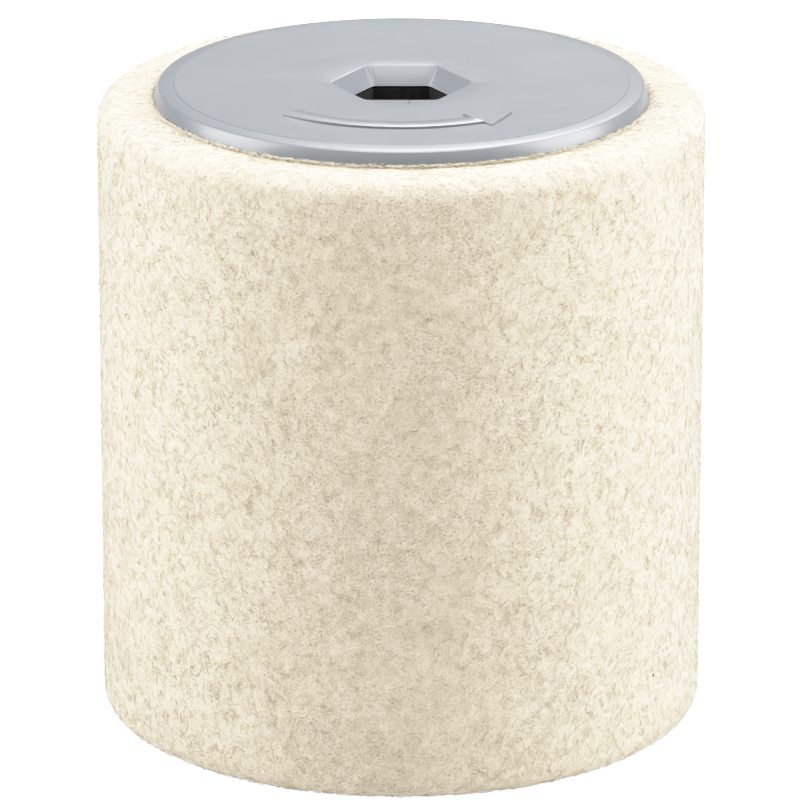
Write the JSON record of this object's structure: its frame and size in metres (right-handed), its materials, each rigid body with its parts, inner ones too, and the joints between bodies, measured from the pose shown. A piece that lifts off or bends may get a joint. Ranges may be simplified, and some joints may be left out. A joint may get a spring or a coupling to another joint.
{
  "type": "felt polishing wheel",
  "caption": "Wide drum of pressed wool felt on a stiff tube, with grey moulded end caps and a hexagonal drive passage through its axis.",
  "frame": {"origin": "centre of the lower cap's flat face, which the wheel stands on", "axes": "+Z along the wheel's axis of rotation, towards the cap with the arrow; +X and -X through corners of the hexagonal passage"},
  "size_m": [0.1, 0.1, 0.111],
  "materials": {
    "felt": "pressed wool felt, cream, with a fuzzy open surface and a few dark specks",
    "fibreboard": "wound brown fibreboard tube, dull, with a faint spiral seam",
    "grey_plastic": "injection-moulded grey plastic, satin, with faint flow marks and a bright bevelled rim",
    "black_plastic": "black moulded plastic, satin"
  },
  "bodies": {
    "root": {"felt_sleeve": "felt", "core_tube": "fibreboard", "upper_end_cap": "grey_plastic", "lower_end_cap": "grey_plastic", "hex_drive_tube": "black_plastic", "centre_web": "black_plastic"}
  },
  "joints": []
}
